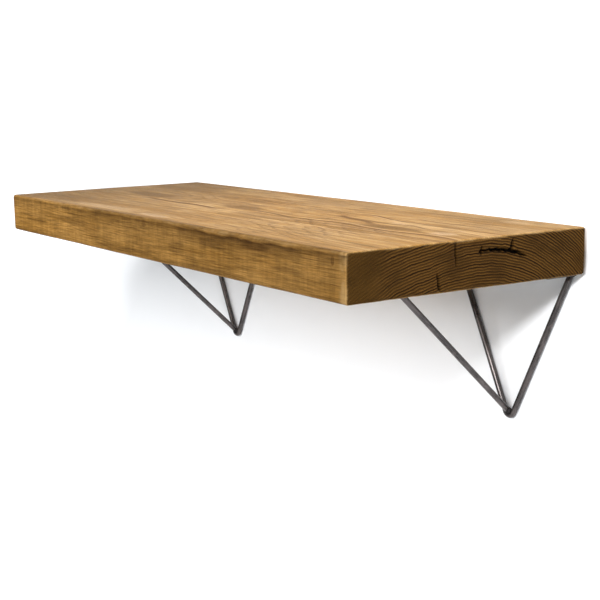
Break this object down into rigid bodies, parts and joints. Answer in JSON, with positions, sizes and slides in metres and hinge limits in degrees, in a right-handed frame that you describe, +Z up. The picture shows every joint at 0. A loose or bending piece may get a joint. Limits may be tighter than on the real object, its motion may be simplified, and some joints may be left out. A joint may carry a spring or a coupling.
{
  "type": "wall shelf",
  "caption": "Thick timber board on two triangular welded rod brackets, each with a V against the wall, a forward strut and a hidden wall angle.",
  "frame": {"origin": "on the wall plane, midway between the brackets, at the height of the wall screw holes", "axes": "+X along the board, +Y into the wall (the shelf lies on the -Y side), +Z up"},
  "size_m": [0.6, 0.2275, 0.1677],
  "materials": {
    "timber": "satin",
    "dark_steel": "satin",
    "weld": "rough",
    "zinc": "satin"
  },
  "bodies": {
    "root": {"shelf_board": "timber", "left_wall_angle": "dark_steel", "left_stem": "dark_steel", "left_rear_rod": "dark_steel", "left_front_rod": "dark_steel", "left_leg_welds": "weld", "left_stem_weld": "weld", "left_strut_weld": "weld", "left_apex_weld": "weld", "left_angle_screws": "zinc", "left_stem_screw": "zinc", "right_wall_angle": "dark_steel", "right_stem": "dark_steel", "right_rear_rod": "dark_steel", "right_front_rod": "dark_steel", "right_leg_welds": "weld", "right_stem_weld": "weld", "right_strut_weld": "weld", "right_apex_weld": "weld", "right_angle_screws": "zinc", "right_stem_screw": "zinc"}
  },
  "joints": []
}
